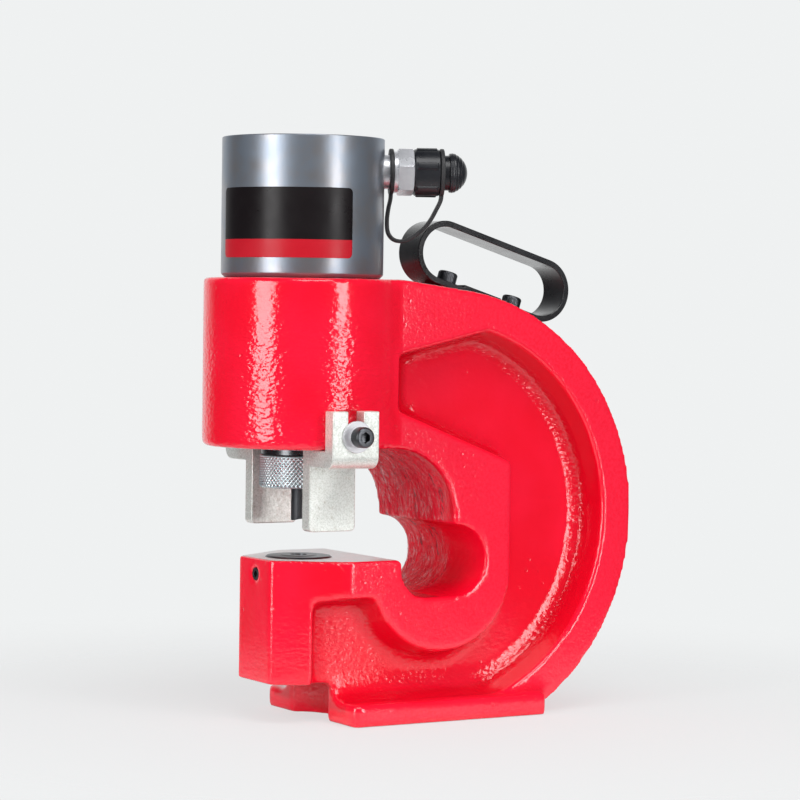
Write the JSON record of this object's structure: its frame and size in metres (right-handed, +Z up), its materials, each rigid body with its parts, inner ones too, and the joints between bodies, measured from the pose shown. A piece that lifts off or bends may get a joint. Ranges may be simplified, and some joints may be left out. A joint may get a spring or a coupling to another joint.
{
  "type": "hydraulic hole punch",
  "caption": "Portable hydraulic hole punch: cast C-frame with throat, cylinder, ram with knurled nut and punch, die, stripper brackets, oil coupler and carrying handle.",
  "frame": {"origin": "on the ground under the middle of the part's length and width", "axes": "+X from the punch to the back of the frame, +Y away from the viewer of the picture, +Z up along the ram"},
  "size_m": [0.288, 0.1696, 0.372],
  "materials": {
    "red_paint": "gloss paint over a rough casting",
    "gunmetal_steel": "dark turned steel",
    "zinc_steel": "zinc plated",
    "black_steel": "black oxide",
    "bright_steel": "ground or drawn",
    "bronze": "turned bronze",
    "seal_polymer": "seal compound",
    "black_rubber": "moulded",
    "black_plastic": "moulded",
    "black_paint": "semi-gloss paint"
  },
  "bodies": {
    "frame": {"c_frame": "red_paint", "cylinder_barrel": "gunmetal_steel", "guide_bush": "bronze", "rod_wiper": "black_rubber", "return_spring": "bright_steel", "die": "black_steel", "die_set_screw": "black_steel", "stripper_washers": "zinc_steel", "stripper_spring_washers": "bright_steel", "stripper_screws": "black_steel", "coupler_body": "zinc_steel", "coupler_seal": "zinc_steel", "poppet_spring": "bright_steel", "cap_leash": "black_rubber", "handle": "black_paint", "handle_screws": "black_steel"},
    "ram": {"ram": "bright_steel", "piston_seal": "seal_polymer", "piston_guide_ring": "bronze", "punch": "black_steel"},
    "punch_nut_body": {"punch_nut": "zinc_steel"},
    "dust_cap_body": {"dust_cap": "black_plastic"},
    "poppet_body": {"coupler_poppet": "bright_steel"},
    "stripper_near_body": {"stripper_near": "zinc_steel"},
    "stripper_far_body": {"stripper_far": "zinc_steel"}
  },
  "joints": [
    {"name": "ram_slide", "type": "slide", "parent": "frame", "child": "ram", "axis": [0, 0, -1], "range_m": [0, 0.028], "stiffness_N_per_m": 8000, "springref_m": -0.03, "deforming": ["return_spring"]},
    {"name": "punch_nut_turn", "type": "hinge", "parent": "ram", "child": "punch_nut_body", "pos_m": [-0.081, 0, 0.16], "axis": [0, 0, 1], "continuous": true},
    {"name": "dust_cap_turn", "type": "hinge", "parent": "frame", "child": "dust_cap_body", "pos_m": [-0.0091, -0.03507, 0.3515], "axis": [0.8988, -0.4384, 0], "continuous": true},
    {"name": "poppet_push", "type": "slide", "parent": "frame", "child": "poppet_body", "axis": [-0.8988, 0.4384, 0], "range_m": [0, 0.003], "stiffness_N_per_m": 800, "springref_m": -0.004, "deforming": ["poppet_spring"]},
    {"name": "stripper_near_slide", "type": "slide", "parent": "frame", "child": "stripper_near_body", "axis": [0, 0, -1], "range_m": [0, 0.012]},
    {"name": "stripper_far_slide", "type": "slide", "parent": "frame", "child": "stripper_far_body", "axis": [0, 0, -1], "range_m": [0, 0.012]}
  ]
}
